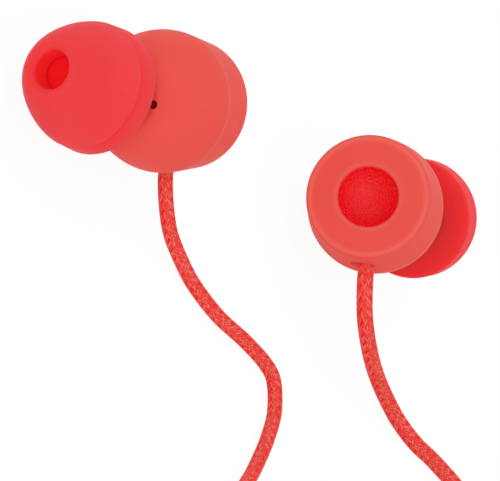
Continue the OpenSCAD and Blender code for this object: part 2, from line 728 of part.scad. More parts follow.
cord(ear_cord(left_pose, left_route, left_coil));  // left_cord
cord(ear_cord(right_pose, right_route, right_coil));  // right_cord
coil(left_coil);
coil(right_coil);
coil_tie(left_coil, 180);  // left_coil_tie
coil_tie(right_coil, 0);  // right_coil_tie
cord(branch_tail(-1, left_tail_route, left_coil));  // left_tail
cord(branch_tail(1, right_tail_route, right_coil));  // right_tail
splitter_half(split_h / 2);  // splitter_top
splitter_half(0);  // splitter_bottom
cord(main_path);  // main_cord
coil(main_coil);
coil_tie(main_coil, 0);  // main_coil_tie
cord(main_tail_path);  // main_tail
plug_boot();
plug_grip();
plug_sleeve();
insulator(ring_bore_r + layer_t + layer_gap, sleeve_end);  // plug_rear_insulator
plug_ring();
insulator(rod_r + layer_gap, ring_start + ring_len);  // plug_front_insulator
plug_tip();
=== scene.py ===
import json

import bmesh
import bpy
import numpy as np
from mathutils import Matrix


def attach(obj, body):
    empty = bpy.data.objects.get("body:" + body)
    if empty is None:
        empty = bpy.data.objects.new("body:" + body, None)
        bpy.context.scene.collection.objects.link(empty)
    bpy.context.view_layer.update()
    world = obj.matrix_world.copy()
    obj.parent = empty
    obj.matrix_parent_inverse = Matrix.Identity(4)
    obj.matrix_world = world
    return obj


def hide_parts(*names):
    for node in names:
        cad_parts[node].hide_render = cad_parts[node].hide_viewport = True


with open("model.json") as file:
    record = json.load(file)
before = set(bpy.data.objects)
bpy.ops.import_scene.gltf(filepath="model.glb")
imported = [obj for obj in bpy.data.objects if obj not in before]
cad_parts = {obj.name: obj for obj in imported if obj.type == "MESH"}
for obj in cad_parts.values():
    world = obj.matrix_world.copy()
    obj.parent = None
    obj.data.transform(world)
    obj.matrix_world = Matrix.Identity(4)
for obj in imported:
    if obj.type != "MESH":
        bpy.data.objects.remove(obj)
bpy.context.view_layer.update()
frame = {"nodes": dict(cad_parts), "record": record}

# Wired in-ear earphones on a white surface. Lengths are millimetres and angles degrees.
mm = 0.001
nodes = frame["nodes"]


def unit(v):
    # vectors of length 1, the same way as the given ones
    v = np.asarray(v, float)
    return v / np.linalg.norm(v, axis=-1, keepdims=True)


shot = {
    "place": (-439.05, -75.39, 266.62),
    "look": (0.85, 0.1303, -0.5104),
    "up": (0.0, 0.9689, 0.2474),
    "lens": 360.0,
    "sensor": 36.0,
    "clip": (10, 20000),
}


def axesMatrix(right, up, back, place=(0, 0, 0)):
    # the placing of something whose own x, y and z point along these three
    matrix = np.eye(4)
    matrix[:3] = np.stack([right, up, back, place], 1)
    return Matrix(matrix.tolist())


def addCamera():
    # the camera's own x, y and z are its right, its up and the way back from what it looks at
    look = unit(shot["look"])
    right = unit(np.cross(look, shot["up"]))
    lens = bpy.data.cameras.new("shotCamera")
    lens.lens, lens.sensor_width = shot["lens"], shot["sensor"]
    lens.clip_start, lens.clip_end = (c * mm for c in shot["clip"])
    cam = bpy.data.objects.new("shotCamera", lens)
    cam.matrix_world = axesMatrix(right, np.cross(right, look), -look, np.array(shot["place"]) * mm)
    bpy.context.scene.collection.objects.link(cam)
    bpy.context.scene.camera = cam


addCamera()
print("camera placed")


def linear(hexColour):
    # sRGB written as hex, turned to linear light: the curve's straight foot, then its 2.4 power
    c = np.array([int(hexColour[i:i + 2], 16) for i in (0, 2, 4)]) / 255
    return (*np.where(c <= 0.04045, c / 12.92, ((c + 0.055) / 1.055) ** 2.4).tolist(), 1.0)


def addNode(tree, kind, settings=None, *given, **links):
    # a node, its settings by input or property name (or only its operation), and what goes into its first inputs in
    # their order, or into others by name, or by number as in6
    node = tree.nodes.new("ShaderNode" + kind)
    for key, value in ({"operation": settings} if isinstance(settings, str) else settings or {}).items():
        if isinstance(key, int) or key in node.inputs:
            node.inputs[key].default_value = value
        else:
            setattr(node, key, value)
    named = [(int(key[2:]) if key[2:].isdigit() else key, value) for key, value in links.items()]
    for place, value in [*enumerate(given), *named]:
        value = value.outputs[0] if hasattr(value, "outputs") else value
        if isinstance(value, bpy.types.NodeSocket):
            tree.links.new(value, node.inputs[place])
        else:
            node.inputs[place].default_value = value
    return node


def newMaterial(name, **settings):
    # a Principled material and what is the same all over it. Its subsurface radius says how far red, green and blue
    # light run in, in mm
    material = bpy.data.materials.new(name)
    material.use_nodes = True
    shader = material.node_tree.nodes["Principled BSDF"]
    for key, value in {"Subsurface Scale": 1 * mm, **settings}.items():
        shader.inputs[key.replace("_", " ")].default_value = value
    return material, material.node_tree, shader


def feed(tree, shader, **sources):
    # nodes or their sockets go into the shader's inputs of these names
    for key, source in sources.items():
        source = source.outputs[0] if hasattr(source, "outputs") else source
        tree.links.new(source, shader.inputs[key.replace("_", " ")])


def mixTones(tree, share, one, other):
    # from one colour to the other by the share: each as hex, as linear numbers or as a socket
    one, other = (linear(tone) if isinstance(tone, str) else tone for tone in (one, other))
    return addNode(tree, "Mix", {"data_type": "RGBA"}, share, in6=one, in7=other).outputs[2]


def meshPiece(name, points, quads, uv=None, paintedShading=None):
    # points in mm, quads as rows of four corners, a uv pair for each corner of each quad, and the share of painted
    # highlight and shade lines for each point
    mesh = bpy.data.meshes.new(name)
    mesh.vertices.add(len(points))
    mesh.vertices.foreach_set("co", (np.asarray(points, float) * mm).astype(np.float32).ravel())
    mesh.loops.add(quads.size)
    mesh.loops.foreach_set("vertex_index", quads.astype(np.int32).ravel())
    mesh.polygons.add(len(quads))
    mesh.polygons.foreach_set("loop_start", np.arange(0, quads.size, 4, dtype=np.int32))
    mesh.polygons.foreach_set("use_smooth", np.ones(len(quads), bool))
    if uv is not None:
        layer = mesh.uv_layers.new(name="surface")
        layer.data.foreach_set("uv", uv.astype(np.float32).ravel())
    if paintedShading is not None:
        layer = mesh.attributes.new("paintedEdgeShading", "FLOAT", "POINT")
        layer.data.foreach_set("value", paintedShading.astype(np.float32).ravel())
    mesh.update(calc_edges=True)
    mesh.validate()
    piece = bpy.data.objects.new(name, mesh)
    bpy.context.scene.collection.objects.link(piece)
    return piece


def gridQuads(rows, columns):
    # quads between neighbouring rows of a grid, whose columns are joined into a ring
    first = columns * np.arange(rows - 1)[:, None]
    j = np.arange(columns)[None, :]
    k = (j + 1) % columns
    return np.stack([first + j, first + k, first + columns + k, first + columns + j], -1).reshape(-1, 4)


def closeSeams(piece):
    # poles and seams are merged, faces turned outwards, and edges steeper than the sharp angle kept sharp
    seam, sharp = 0.0002, 35
    work = bmesh.new()
    work.from_mesh(piece.data)
    bmesh.ops.remove_doubles(work, verts=work.verts, dist=seam * mm)
    bmesh.ops.recalc_face_normals(work, faces=work.faces)
    work.to_mesh(piece.data)
    work.free()
    piece.data.set_sharp_from_angle(angle=np.radians(sharp))
    return piece


def turnMatrix(axis, degrees):
    # a turn about y or z, as rows that multiply a column vector
    c, s = np.cos(np.radians(degrees)), np.sin(np.radians(degrees))
    i, j = {"y": (2, 0), "z": (0, 1)}[axis]
    turn = np.eye(3)
    turn[i, i], turn[i, j], turn[j, i], turn[j, j] = c, -s, s, c
    return turn


def arc(centre, radius, start, end, steps):
    # points of a circle from one angle to another: the centre and the radius times the angle's cosine and sine
    a = np.radians(np.linspace(start, end, steps + 1))
    return np.stack([centre[0] + radius * np.cos(a), centre[1] + radius * np.sin(a)], 1)


def straight(start, end, step):
    # a line from start to end in equal steps of about the given length
    start, end = np.array(start, float), np.array(end, float)
    share = np.linspace(0, 1, max(2, int(np.linalg.norm(end - start) / step) + 1))[:, None]
    return start + (end - start) * share


def domeCurve(base, top, fullness, steps):
    # a quarter of a superellipse between two pairs of radius and height: the way from one to the other goes with the
    # cosine and the sine, each to the power 2 / fullness, so fullness 2 is an ellipse
    t = np.linspace(0, np.pi / 2, steps + 1)
    radius = top[0] + (base[0] - top[0]) * np.cos(t) ** (2 / fullness)
    return np.stack([radius, base[1] + (top[1] - base[1]) * np.sin(t) ** (2 / fullness)], 1)


def revolve(profile, columns):
    # the profile's rows of radius and height are carried once round the z axis: x and y are the radius times the
    # angle's cosine and sine
    a = 2 * np.pi * np.arange(columns) / columns
    r, z = profile[:, :1], profile[:, 1:]
    return np.stack([r * np.cos(a), r * np.sin(a), z + 0 * a], -1)


def pressHole(points, centre, axis, radius, depth, lip):
    # what is nearer to the axis than the radius goes in along it by the depth. Over a lip on both sides of the radius
    # the share goes from 1 to 0, smoothed as 3 squares less 2 cubes
    axis = np.array(axis, float)
    out = points - np.array(centre, float)
    along = out @ axis
    away = np.linalg.norm(out - along[..., None] * axis, axis=-1)
    share = np.clip((radius + lip - away) / (2 * lip), 0, 1) * (along > 0)
    inward = depth * share * share * (3 - 2 * share)
    return points - inward[..., None] * axis


def dress(piece, *materials):
    # the piece has these materials and no others
    piece.data.materials.clear()
    for material in materials:
        piece.data.materials.append(material)


def finishPiece(piece, body, stands, slot, *materials):
    # a piece gets its materials, rides on its body and stands for its plain solids, which are hidden. The slot is not
    # used
    dress(piece, *materials)
    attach(piece, body)
    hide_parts(*stands)


def gridPiece(name, grid, body, stands, slot, *materials, paintedShading=None):
    # one closed surface from a grid of points that runs round its second direction
    piece = closeSeams(meshPiece(name, grid.reshape(-1, 3), gridQuads(*grid.shape[:2]), paintedShading=paintedShading))
    finishPiece(piece, body, stands, slot, *materials)
    return piece


skins = {
    # ABS shells under a matt soft-touch rubber paint: one even coral, a velvet paleness at grazing angles, no clear
    # reflection, and deep red where the shells light each other. Its line tone is a painted highlight along the shells'
    # rounded edges and seam. Its spray grain is drawn twice as coarse to show
    "softTouchPaint": {
        "tones": ("F0544B", "F25B52"), "line": "F27C70", "cloud": (4, 2.0), "grain": (0.12, 3.0),
        "gloss": (0.5, 0.6), "bump": 0.12, "reach": (5.0, 0.3, 0.3),
        "settings": {"Specular_IOR_Level": 0.02, "Sheen_Weight": 0.09, "Sheen_Roughness": 0.3,
                     "Subsurface_Weight": 0.1}},
    # translucent liquid silicone rubber, moulded with a satin skin: most of the light runs some way in and comes out
    # redder. Its line tone is painted shade in the moulding line's groove. The skin's grain is drawn coarser than it is
    # to show
    "tipSilicone": {
        "tones": ("F04347", "F2494D"), "line": "F41C26", "cloud": (3, 3.0), "grain": (0.2, 4.0),
        "gloss": (0.45, 0.55), "bump": 0.08, "reach": (5.0, 0.4, 0.4),
        "settings": {"Specular_IOR_Level": 0.06, "IOR": 1.41, "Subsurface_Weight": 0.8}},
}
# the tip's stem is thinner and lies in its own shade; its purer red is painted shade, for the deep red that light takes
# bouncing round the hole, and little of the light runs on in it
skins["shadedStemSilicone"] = {
    **skins["tipSilicone"], "tones": ("FF2C32", "FF3036"), "reach": (3.0, 0.4, 0.4),
    "settings": {**skins["tipSilicone"]["settings"], "Subsurface_Weight": 0.15}}


def skinFinish(name):
    # pigment in clouds between two tones, a fine grain that changes gloss and surface a little, both by size and
    # detail, and another tone along the lines that the mesh marks: a painted highlight on the paint's edges, painted
    # shade in the tip's moulding line
    s = skins[name]
    finish, tree, shader = newMaterial(name, Subsurface_Radius=s["reach"], **s["settings"])
    place = addNode(tree, "TexCoord").outputs["Object"]
    cloud, grain = (addNode(tree, "TexNoise", {"Scale": 1 / (size * mm), "Detail": detail}, place)
                    for size, detail in (s["cloud"], s["grain"]))
    tone = mixTones(tree, cloud, *s["tones"])
    low, high = s["gloss"]
    gloss = addNode(tree, "MapRange", {"From Min": 0.3, "From Max": 0.7, "To Min": low, "To Max": high}, grain)
    bump = addNode(tree, "Bump", {"Strength": s["bump"], "Distance": 0.01 * mm}, Height=grain)
    line = addNode(tree, "Attribute", {"attribute_name": "paintedEdgeShading"}).outputs["Fac"]
    feed(tree, shader, Base_Color=mixTones(tree, line, tone, s["line"]), Roughness=gloss, Normal=bump)
    return finish


def pebbledGrille():
    # moulded plastic grille with a pebbled grain of 0.24 mm: small raised beads that catch the light one by one, their
    # tops painted lighter as painted highlights
    grille, tree, shader = newMaterial("pebbledGrille", Specular_IOR_Level=0.35, Roughness=0.36,
                                       Subsurface_Weight=0.1, Subsurface_Radius=(3.0, 0.2, 0.2))
    place = addNode(tree, "TexCoord").outputs["Object"]
    pattern = {"feature": "SMOOTH_F1", "Scale": 1 / (0.24 * mm), "Smoothness": 0.3}
    beads = addNode(tree, "TexVoronoi", pattern, place)
    height = addNode(tree, "MapRange", {"From Max": 0.6, "To Min": 1.0, "To Max": 0.0}, beads)
    top = addNode(tree, "MapRange", {"From Min": 0.4, "From Max": 0.85}, height)
    # the beads' tops are painted lighter: painted highlights
    tone = mixTones(tree, top, "F80410", "FF3648")
    grain = addNode(tree, "Bump", {"Strength": 0.9, "Distance": 0.07 * mm}, Height=height)
    feed(tree, shader, Base_Color=tone, Normal=grain)
    return grille


def plainFinish(name, colour, roughness, size, height, pattern="Noise", turn=None, **settings):
    # one colour with a fine pattern, whose dips are darker and smoother. A wave texture of scale 1 repeats every pi
    # tenths, and a turn lays it along the piece
    finish, tree, shader = newMaterial(name, **settings)
    shade, swing = 0.82, 0.06
    place = addNode(tree, "TexCoord").outputs["Object"]
    if turn is not None:
        place = addNode(tree, "Mapping", {"Rotation": Matrix(turn.T.tolist()).to_euler()}, place)
    scale = (np.pi / 10 if pattern == "Wave" else 1) / (size * mm)
    grain = addNode(tree, "Tex" + pattern, {"Scale": scale}, place)
    if turn is not None:
        grain.bands_direction = "Z"
    darker = (*(shade * c for c in linear(colour)[:3]), 1.0)
    tone = mixTones(tree, grain, darker, colour)
    gloss = addNode(tree, "MapRange", {"To Min": roughness - swing, "To Max": roughness + swing}, grain)
    bump = addNode(tree, "Bump", {"Strength": 0.5, "Distance": height * mm}, Height=grain)
    feed(tree, shader, Base_Color=tone, Roughness=gloss, Normal=bump)
    return finish


paint, silicone, shadedStemSilicone = (skinFinish(name) for name in ("softTouchPaint", "tipSilicone", "shadedStemSilicone"))
beadedGrille = pebbledGrille()
# painted shade: a dull dark red on the bottom faces of the pressed vent, standing for the dark of a hole that is not
# cut through
ventShade = plainFinish("ventPaintedShade", "A81420", 0.9, 0.1, 0.01)
# unpainted ABS as it leaves the mould: satin, and a deeper red than the paint, which is partly painted shade for the
# red that light takes bouncing round the sound hole. And flexible TPE, moulded with a fine spark-eroded texture: dull
# and a shade deeper than the painted grip. Light runs some way into both
milky = {"Subsurface_Weight": 0.4, "Subsurface_Radius": (3.0, 0.3, 0.3)}
shadedNozzleABS = plainFinish("nozzleABSPaintedShade", "FC1E22", 0.4, 0.3, 0.005, **milky)
rubber = plainFinish("mouldedTPE", "F63A34", 0.62, 0.2, 0.015, **milky)
print("finishes made")


earpieces = {
    "left": {"place": (-18.3, 5.15, 7.523), "lean": 80.3, "heading": 181.5, "roll": 156.4},
    "right": {"place": (18.35, -5.55, 8.002), "lean": 114.8, "heading": -2.4, "roll": 15.7},
}

housing = {
    "rim": 7.2, "back": 6.6, "backLength": 6.6, "backEdge": 0.6, "wall": 0.9,
    "domeHeight": 9.0, "domeTop": 3.0, "domeFullness": 1.55,
    "seam": 0.05,  # bevel where the two shells meet
    "rimSoftness": 0.4,  # how far from the rim the walls begin to draw in
    "spigot": 6.08, "spigotLength": 1.2, "driverSeat": 0.6, "driverBore": 5.5, "chamber": 4.8,
    "vent": (2.8, -0.3), "ventRadius": 0.4, "ventDepth": 0.7, "ventLip": 0.04,
    "ventShade": (2.0, 0.06, 0.03),  # its faces: at most and least under the dome's top, past the radius
    "innerTop": 2.4,  # the dome's flat top has close rows from here outwards
    "cordDistance": 3.2, "cordHole": 0.8, "cordHoleDepth": 0.8, "cordHoleLip": 0.08,
    "recess": 1.05, "recessShift": 0.6, "recessDepth": 0.4, "recessLip": 0.15,
    "cordSide": -2.0,  # the wall beyond this has the recess in it
    "columns": 384,
}

# painted highlights along the shells' seam, rounded back edge, dish mouth and cord recess, and painted shade in the
# tip's moulding line: how strong it is, how far its middle lies from the edge, and how wide it is. On the back it also
# ends some way above the flat face
paintedShadingLines = {
    "seam": {"strength": 0.4, "middle": 0.15, "width": 0.12},
    "backEdge": {"strength": 0.5, "middle": 6.17, "width": 0.17, "above": 0.2},  # from the axis
    "mouth": {"strength": 0.35, "middle": 0.25, "width": 0.12, "above": 0.25},
    "recess": {"strength": 0.35, "middle": 0.1, "width": 0.08},
    "mouldingLine": {"strength": 1.0, "middle": 0.0, "width": 0.06},
}

dish = {
    "radius": 3.2, "depth": 2.4, "mouthRound": 0.4, "wall": 0.15, "pocket": 3.7, "grilleThickness": 0.4,
    "play": 0.05, "columns": 192,
}

nozzle = {
    "root": (-0.95, -1.4, 0), "lean": 15.5, "turn": 141,
    "foot": 8, "boreFoot": 9,  # both lie inside the dome
    "collar": 3.3, "collarTop": 9.8, "barrel": 2.4, "bore": 1.7, "end": 16.4, "edge": 0.1,
    "ridge": 2.6, "ridgeFoot": 1.2, "ridgeTop": (0.9, 0.4),  # where its slope and its flat lie, back from the end
    "meshSeat": 2.0, "meshRecess": 0.4, "seatSlope": 0.2,
    "columns": 96,
}

earTip = {
    "line": 12.0,  # place of the moulding line along the nozzle
    "radius": 6.4, "skirt": 6.5, "skirtLength": 2.5, "skirtEdge": 0.2, "domeHeight": 6.5, "fullness": 1.36,
    "hole": 1.95, "ledge": 1.75, "lip": 0.8, "groove": 0.09, "rimWidth": 0.6, "recess": 0.4, "recessSlope": 0.8,
    "bore": 2.65, "step": 4.43,
    "stemWall": 1.0, "stemMargin": 0.1, "stemLip": 0.6,  # the last is the share of the lip that is still the stem's
    "columns": 256,
}
hair = 0.01  # what tells two levels apart


def earpieceTurn(side):
    # an earpiece is rolled about its own axis, leaned from upright and headed
    e = earpieces[side]
    return turnMatrix("z", e["heading"]) @ turnMatrix("y", e["lean"]) @ turnMatrix("z", e["roll"])


def inPlace(points, side):
    # points of an earpiece, turned and moved to where it lies
    return points @ earpieceTurn(side).T + np.array(earpieces[side]["place"])


def nozzleTurn():
    # the nozzle's own axis leans from the housing's
    return turnMatrix("z", nozzle["turn"]) @ turnMatrix("y", nozzle["lean"])


def onNozzle(points):
    # points of the nozzle, in the housing's place
    return points @ nozzleTurn().T + np.array(nozzle["root"])


def offNozzle(points):
    # the other way round: points of the housing, in the nozzle's own place
    return (points - np.array(nozzle["root"])) @ nozzleTurn()


def softRim(profile):
    # a wall's rows, from the rim at height 0: each height becomes the root of (height + w) squared less w squared, so
    # the wall leaves the rim upright and bends away gently. Rows inside the seam's bevel give way to it
    w, seam = housing["rimSoftness"], housing["seam"]
    way = np.sign(profile[-1, 1])
    far = abs(profile[-1, 1])
    share = (np.hypot(far, w) - w) / far
    height = np.sqrt((np.abs(profile[:, 1]) * share + w) ** 2 - w ** 2)
    kept = height > 1.5 * seam
    start = np.array([(profile[0, 0] - seam, 0), (np.interp(seam, height, profile[:, 0]), way * seam)])
    return np.vstack([start, np.stack([profile[kept, 0], way * height[kept]], 1)])


def paintedShadingLine(name, distance):
    # a bell curve over the distance from an edge, for a painted highlight or shade line: its full strength in the
    # middle, a seventh at twice the width
    line = paintedShadingLines[name]
    return line["strength"] * np.exp(-((distance - line["middle"]) / line["width"]) ** 2 / 2)


def frontShell(side):
    # dome, rim and spigot as one closed profile round the axis, the vent pressed into the dome, and the nozzle on it
    h, n = housing, nozzle
    high, seat, low = h["domeHeight"], h["driverSeat"], -h["spigotLength"]
    inner = (h["domeTop"] - h["wall"], high - h["wall"])
    outside = np.vstack([
        softRim(domeCurve((h["rim"], 0), (h["domeTop"], high), h["domeFullness"], 110)),
        straight((h["domeTop"], high), (h["innerTop"], high), 0.05),
        straight((h["innerTop"], high), (0, high), 0.4)])
    inside = np.vstack([
        straight((0, inner[1]), inner, 0.6),
        domeCurve((h["chamber"], 2 * seat), inner, h["domeFullness"], 24)[::-1],
        [(h["chamber"], seat), (h["driverBore"], seat), (h["driverBore"], low), (h["spigot"], low), (h["spigot"], 0),
         (h["rim"] - h["seam"], 0)]])
    dome = pressHole(revolve(outside, h["columns"]), (*h["vent"], 0), (0, 0, 1),
                     h["ventRadius"], h["ventDepth"], h["ventLip"])
    shell = np.concatenate([dome, revolve(inside, h["columns"])])
    # a painted highlight along the seam, on the outer skin only
    paintedShading = paintedShadingLine("seam", shell[..., 2]) * (np.arange(len(shell)) < len(dome))[:, None]
    end, top, edge, recess = n["end"], n["collarTop"], n["edge"], n["end"] - n["meshRecess"]
    tube = np.array([
        (0, n["foot"]), (n["collar"], n["foot"]), (n["collar"], top - edge), (n["collar"] - edge, top),
        (n["barrel"], top), (n["barrel"], end - n["ridgeFoot"]), (n["ridge"], end - n["ridgeTop"][0]),
        (n["ridge"], end - n["ridgeTop"][1]), (n["barrel"] - edge, end), (n["meshSeat"], end),
        (n["meshSeat"] - n["seatSlope"], recess), (n["bore"], recess), (n["bore"], n["boreFoot"]), (0, n["boreFoot"])])
    barrel = onNozzle(revolve(tube, n["columns"]))
    points = np.vstack([shell.reshape(-1, 3), barrel.reshape(-1, 3)])
    quads = np.vstack([gridQuads(len(shell), h["columns"]), gridQuads(len(tube), n["columns"]) + shell.size // 3])
    paintedShading = np.append(paintedShading, np.zeros(barrel.size // 3))
    piece = closeSeams(meshPiece(side + "FrontShell", inPlace(points, side), quads, paintedShading=paintedShading))
    finishPiece(piece, "base", [side + "_housing_front"], "housing", paint, ventShade, shadedNozzleABS)
    shadeFront(piece, side)


def ownCentres(piece, side):
    # the middles of a piece's faces, back in the earpiece's own place
    centres = np.empty(len(piece.data.polygons) * 3, np.float32)
    piece.data.polygons.foreach_get("center", centres)
    return (centres.reshape(-1, 3) / mm - np.array(earpieces[side]["place"])) @ earpieceTurn(side)


def shadeFront(piece, side):
    # the faces at the bottom of the vent take a dark painted shade, and the nozzle's faces take unpainted ABS whose
    # deeper red is partly painted shade
    own = ownCentres(piece, side)
    most, least, past = housing["ventShade"]
    under = housing["domeHeight"] - own[:, 2]
    away = np.hypot(own[:, 0] - housing["vent"][0], own[:, 1] - housing["vent"][1])
    low = (under < most) & (under > least) & (away < housing["ventRadius"] + past)
    nozzleFaces = offNozzle(own)[:, 2] > nozzle["collarTop"] + hair
    piece.data.polygons.foreach_set("material_index", np.where(nozzleFaces, 2, low).astype(np.int32))


def backShell(side):
    # wall, round back edge, flat back and the dish's mouth as one closed profile, with the cord's hole pressed in
    h, d = housing, dish
    low = -h["backLength"]
    seat = low + d["mouthRound"] + d["wall"]
    thick = seat + d["grilleThickness"] + d["play"]
    slope = (h["rim"] - h["back"]) / (h["backLength"] - h["backEdge"])
    edge, corner = h["backEdge"], h["back"] - h["backEdge"]
    mouth, inner = d["radius"] + d["mouthRound"], h["rim"] - h["wall"]
    outside = np.vstack([
        softRim(straight((h["rim"], 0), (h["back"], low + edge), 0.1)),
        arc((corner, low + edge), edge, 0, -90, 12),
        straight((corner, low), (mouth, low), 0.3),
        arc((mouth, low + d["mouthRound"]), d["mouthRound"], 270, 180, 10)])
    inside = np.array([
        (d["radius"], seat), (d["pocket"], seat), (d["pocket"], thick),
        (inner + slope * thick, thick), (inner, 0), (h["rim"] - h["seam"], 0)])
    skin = revolve(outside, h["columns"])
    at = -h["cordDistance"]
    skin = pressHole(skin, (h["recessShift"], 0, at), (0, -1, 0), h["recess"], h["recessDepth"], h["recessLip"])
    skin = pressHole(skin, (0, 0, at), (0, -1, 0), h["cordHole"], h["cordHoleDepth"], h["cordHoleLip"])
    grid = np.concatenate([skin, revolve(inside, h["columns"])])
    r, z = np.hypot(grid[..., 0], grid[..., 1]), grid[..., 2]
    away = np.hypot(grid[..., 0] - h["recessShift"], z - at)
    # painted highlights along the seam, the back edge, the dish's mouth and the cord's recess, on the outer skin only
    paintedShading = (paintedShadingLine("seam", -z)
            + paintedShadingLine("backEdge", r) * (z < low + paintedShadingLines["backEdge"]["above"])
            + paintedShadingLine("mouth", r - d["radius"]) * (z < low + paintedShadingLines["mouth"]["above"])
            + paintedShadingLine("recess", away - h["recess"]) * (grid[..., 1] < h["cordSide"]))
    paintedShading = paintedShading * (np.arange(len(grid)) < len(skin))[:, None]
    gridPiece(side + "BackShell", inPlace(grid, side), "base", [side + "_housing_back"], "housing", paint, paintedShading=paintedShading)


def backGrille(side):
    # a bowl with a flat flange round it, part of a hollow ball whose radius is the mouth's radius squared plus the
    # bowl's height squared, over twice that height
    d = dish
    seat = d["mouthRound"] + d["wall"] - housing["backLength"]
    high = d["depth"] - d["mouthRound"] - d["wall"]
    ball = (d["radius"] ** 2 + high ** 2) / (2 * high)
    centre = d["depth"] - housing["backLength"] - ball
    t = d["grilleThickness"]
    edge = np.degrees(np.arcsin(d["radius"] / ball))
    outer = np.degrees(np.arccos((seat + t - centre) / (ball + t)))
    flange = d["pocket"] - d["play"]
    profile = np.vstack([
        arc((0, centre), ball, 90, 90 - edge, 48), [(flange, seat), (flange, seat + t)],
        arc((0, centre), ball + t, 90 - outer, 90, 24)])
    gridPiece(side + "BackGrille", inPlace(revolve(profile, d["columns"]), side), "base", [side + "_back_grille"],
              "grille", beadedGrille)


def siliconeTip(side):
    # dome, lip, sound hole, bore, shallow rear recess and skirt as one closed profile round the nozzle's axis
    t = earTip
    low, edge, groove, lip = -t["skirtLength"], t["skirtEdge"], t["groove"], t["lip"]
    rim, mouth, recess, shoulder = t["skirt"] - t["rimWidth"], t["hole"] + lip, low + t["recess"], t["domeHeight"] - lip
    profile = np.vstack([
        arc((t["skirt"] - edge, low + edge), edge, -90, 0, 6),
        [(t["radius"], -2 * groove), (t["radius"] - groove, -groove)],
        domeCurve((t["radius"], 0), (mouth, t["domeHeight"]), t["fullness"], 100),
        arc((mouth, shoulder), lip, 90, 180, 14)[1:],
        straight((t["hole"], shoulder), (t["ledge"], t["step"]), 0.2)[1:],
        [(t["bore"], t["step"]), (t["bore"], recess), (rim - t["recessSlope"], recess),
         (rim, low), (t["skirt"] - edge, low)]])
    grid = revolve(profile + np.array([0, t["line"]]), t["columns"])
    outer = np.hypot(grid[..., 0], grid[..., 1]) > t["bore"] + t["stemWall"]
    # painted shade in the moulding line's groove, on the outer faces only
    paintedShading = paintedShadingLine("mouldingLine", grid[..., 2] - t["line"] + groove) * outer
    piece = gridPiece(side + "EarTip", inPlace(onNozzle(grid), side), side + "_tip", [side + "_ear_tip"], "silicone",
                      silicone, shadedStemSilicone, paintedShading=paintedShading)
    # the faces of the sound hole and the bore are the stem's, with its painted shade
    own = offNozzle(ownCentres(piece, side))
    away, high = np.hypot(own[:, 0], own[:, 1]), own[:, 2] - t["line"]
    stem = (away < t["bore"] + t["stemMargin"]) & (high > recess + hair)
    stem = stem & (high < t["domeHeight"] - t["stemLip"] * lip)
    piece.data.polygons.foreach_set("material_index", stem.astype(np.int32))


for side in earpieces:
    frontShell(side)
    backShell(side)
    backGrille(side)
    siliconeTip(side)
print("earpieces made")


splitter = {
    "centre": (22.5, -50.0), "length": 12.0, "width": 6.6, "height": 4.4,
    "cornerRadius": 2.0, "edge": 0.5, "branchGap": 2.6, "hole": 0.9, "holeDepth": 1.0, "holeLip": 0.06,
    "rowStep": 0.12, "columns": 256,
}

plug = {
    "place": (2.0, -69.4, 3.6),
    "bootLength": 8.0, "bootRadius": 2.3, "bootTail": 1.35, "bootEdge": 0.2, "cordBore": 0.85, "bootInside": 4.8,
    "bootPlug": 2.0, "play": 0.1, "bootColumns": 96,
    "gripRadius": 3.6, "gripLength": 15.0, "gripEdge": 0.8, "pinBore": 1.6, "pinDepth": 5.1, "gripColumns": 128,
}


def splitterHalf(name, stands, upper):
    # a rounded rectangle rises from the parting plane and draws in over a round edge to a flat top
    s = splitter
    half = s["height"] / 2
    turn = np.radians(np.linspace(0, 90, 9))
    rows = np.vstack([
        straight((0, 0), (0, half - s["edge"]), s["rowStep"]),
        np.stack([s["edge"] * (1 - np.cos(turn)), half - s["edge"] * (1 - np.sin(turn))], 1)[1:]])
    corner = s["cornerRadius"] - rows[:, :1]
    box = np.array([s["width"], s["length"]]) / 2 - s["cornerRadius"]
    # the outline's direction turns evenly round each corner and runs straight between them
    column = np.arange(s["columns"])
    share = (column / s["columns"] * 4) % 1
    quarter = column * 4 // s["columns"]
    bend = np.pi / 2 * (quarter + np.clip(share * 2, 0, 1))
    run = np.clip(share * 2 - 1, 0, 1)[:, None]
    sides = np.array([(1, 1), (-1, 1), (-1, -1), (1, -1)])
    middle = box * (sides[quarter] * (1 - run) + sides[(quarter + 1) % 4] * run)
    x = middle[:, 0] + corner * np.cos(bend)
    y = middle[:, 1] + corner * np.sin(bend)
    grid = np.stack([x, y, np.broadcast_to(rows[:, 1:], x.shape)], -1)
    for end, hole in ((-1, -s["branchGap"] / 2), (-1, s["branchGap"] / 2), (1, 0)):
        grid = pressHole(grid, (hole, 0, 0), (0, end, 0), s["hole"], s["holeDepth"], s["holeLip"])
    middlePoint = np.zeros((1, s["columns"], 3))
    grid = np.concatenate([middlePoint, grid, middlePoint + np.array([0, 0, half])])
    grid = grid * np.array([1, 1, 1 if upper else -1]) + np.array([*s["centre"], half])
    return gridPiece(name, grid, "base", stands, "soft_touch", paint)


def onPlug(grid):
    # the plug's axis runs along -x from the rear end of its bend relief
    return grid @ turnMatrix("y", -90).T + np.array(plug["place"])


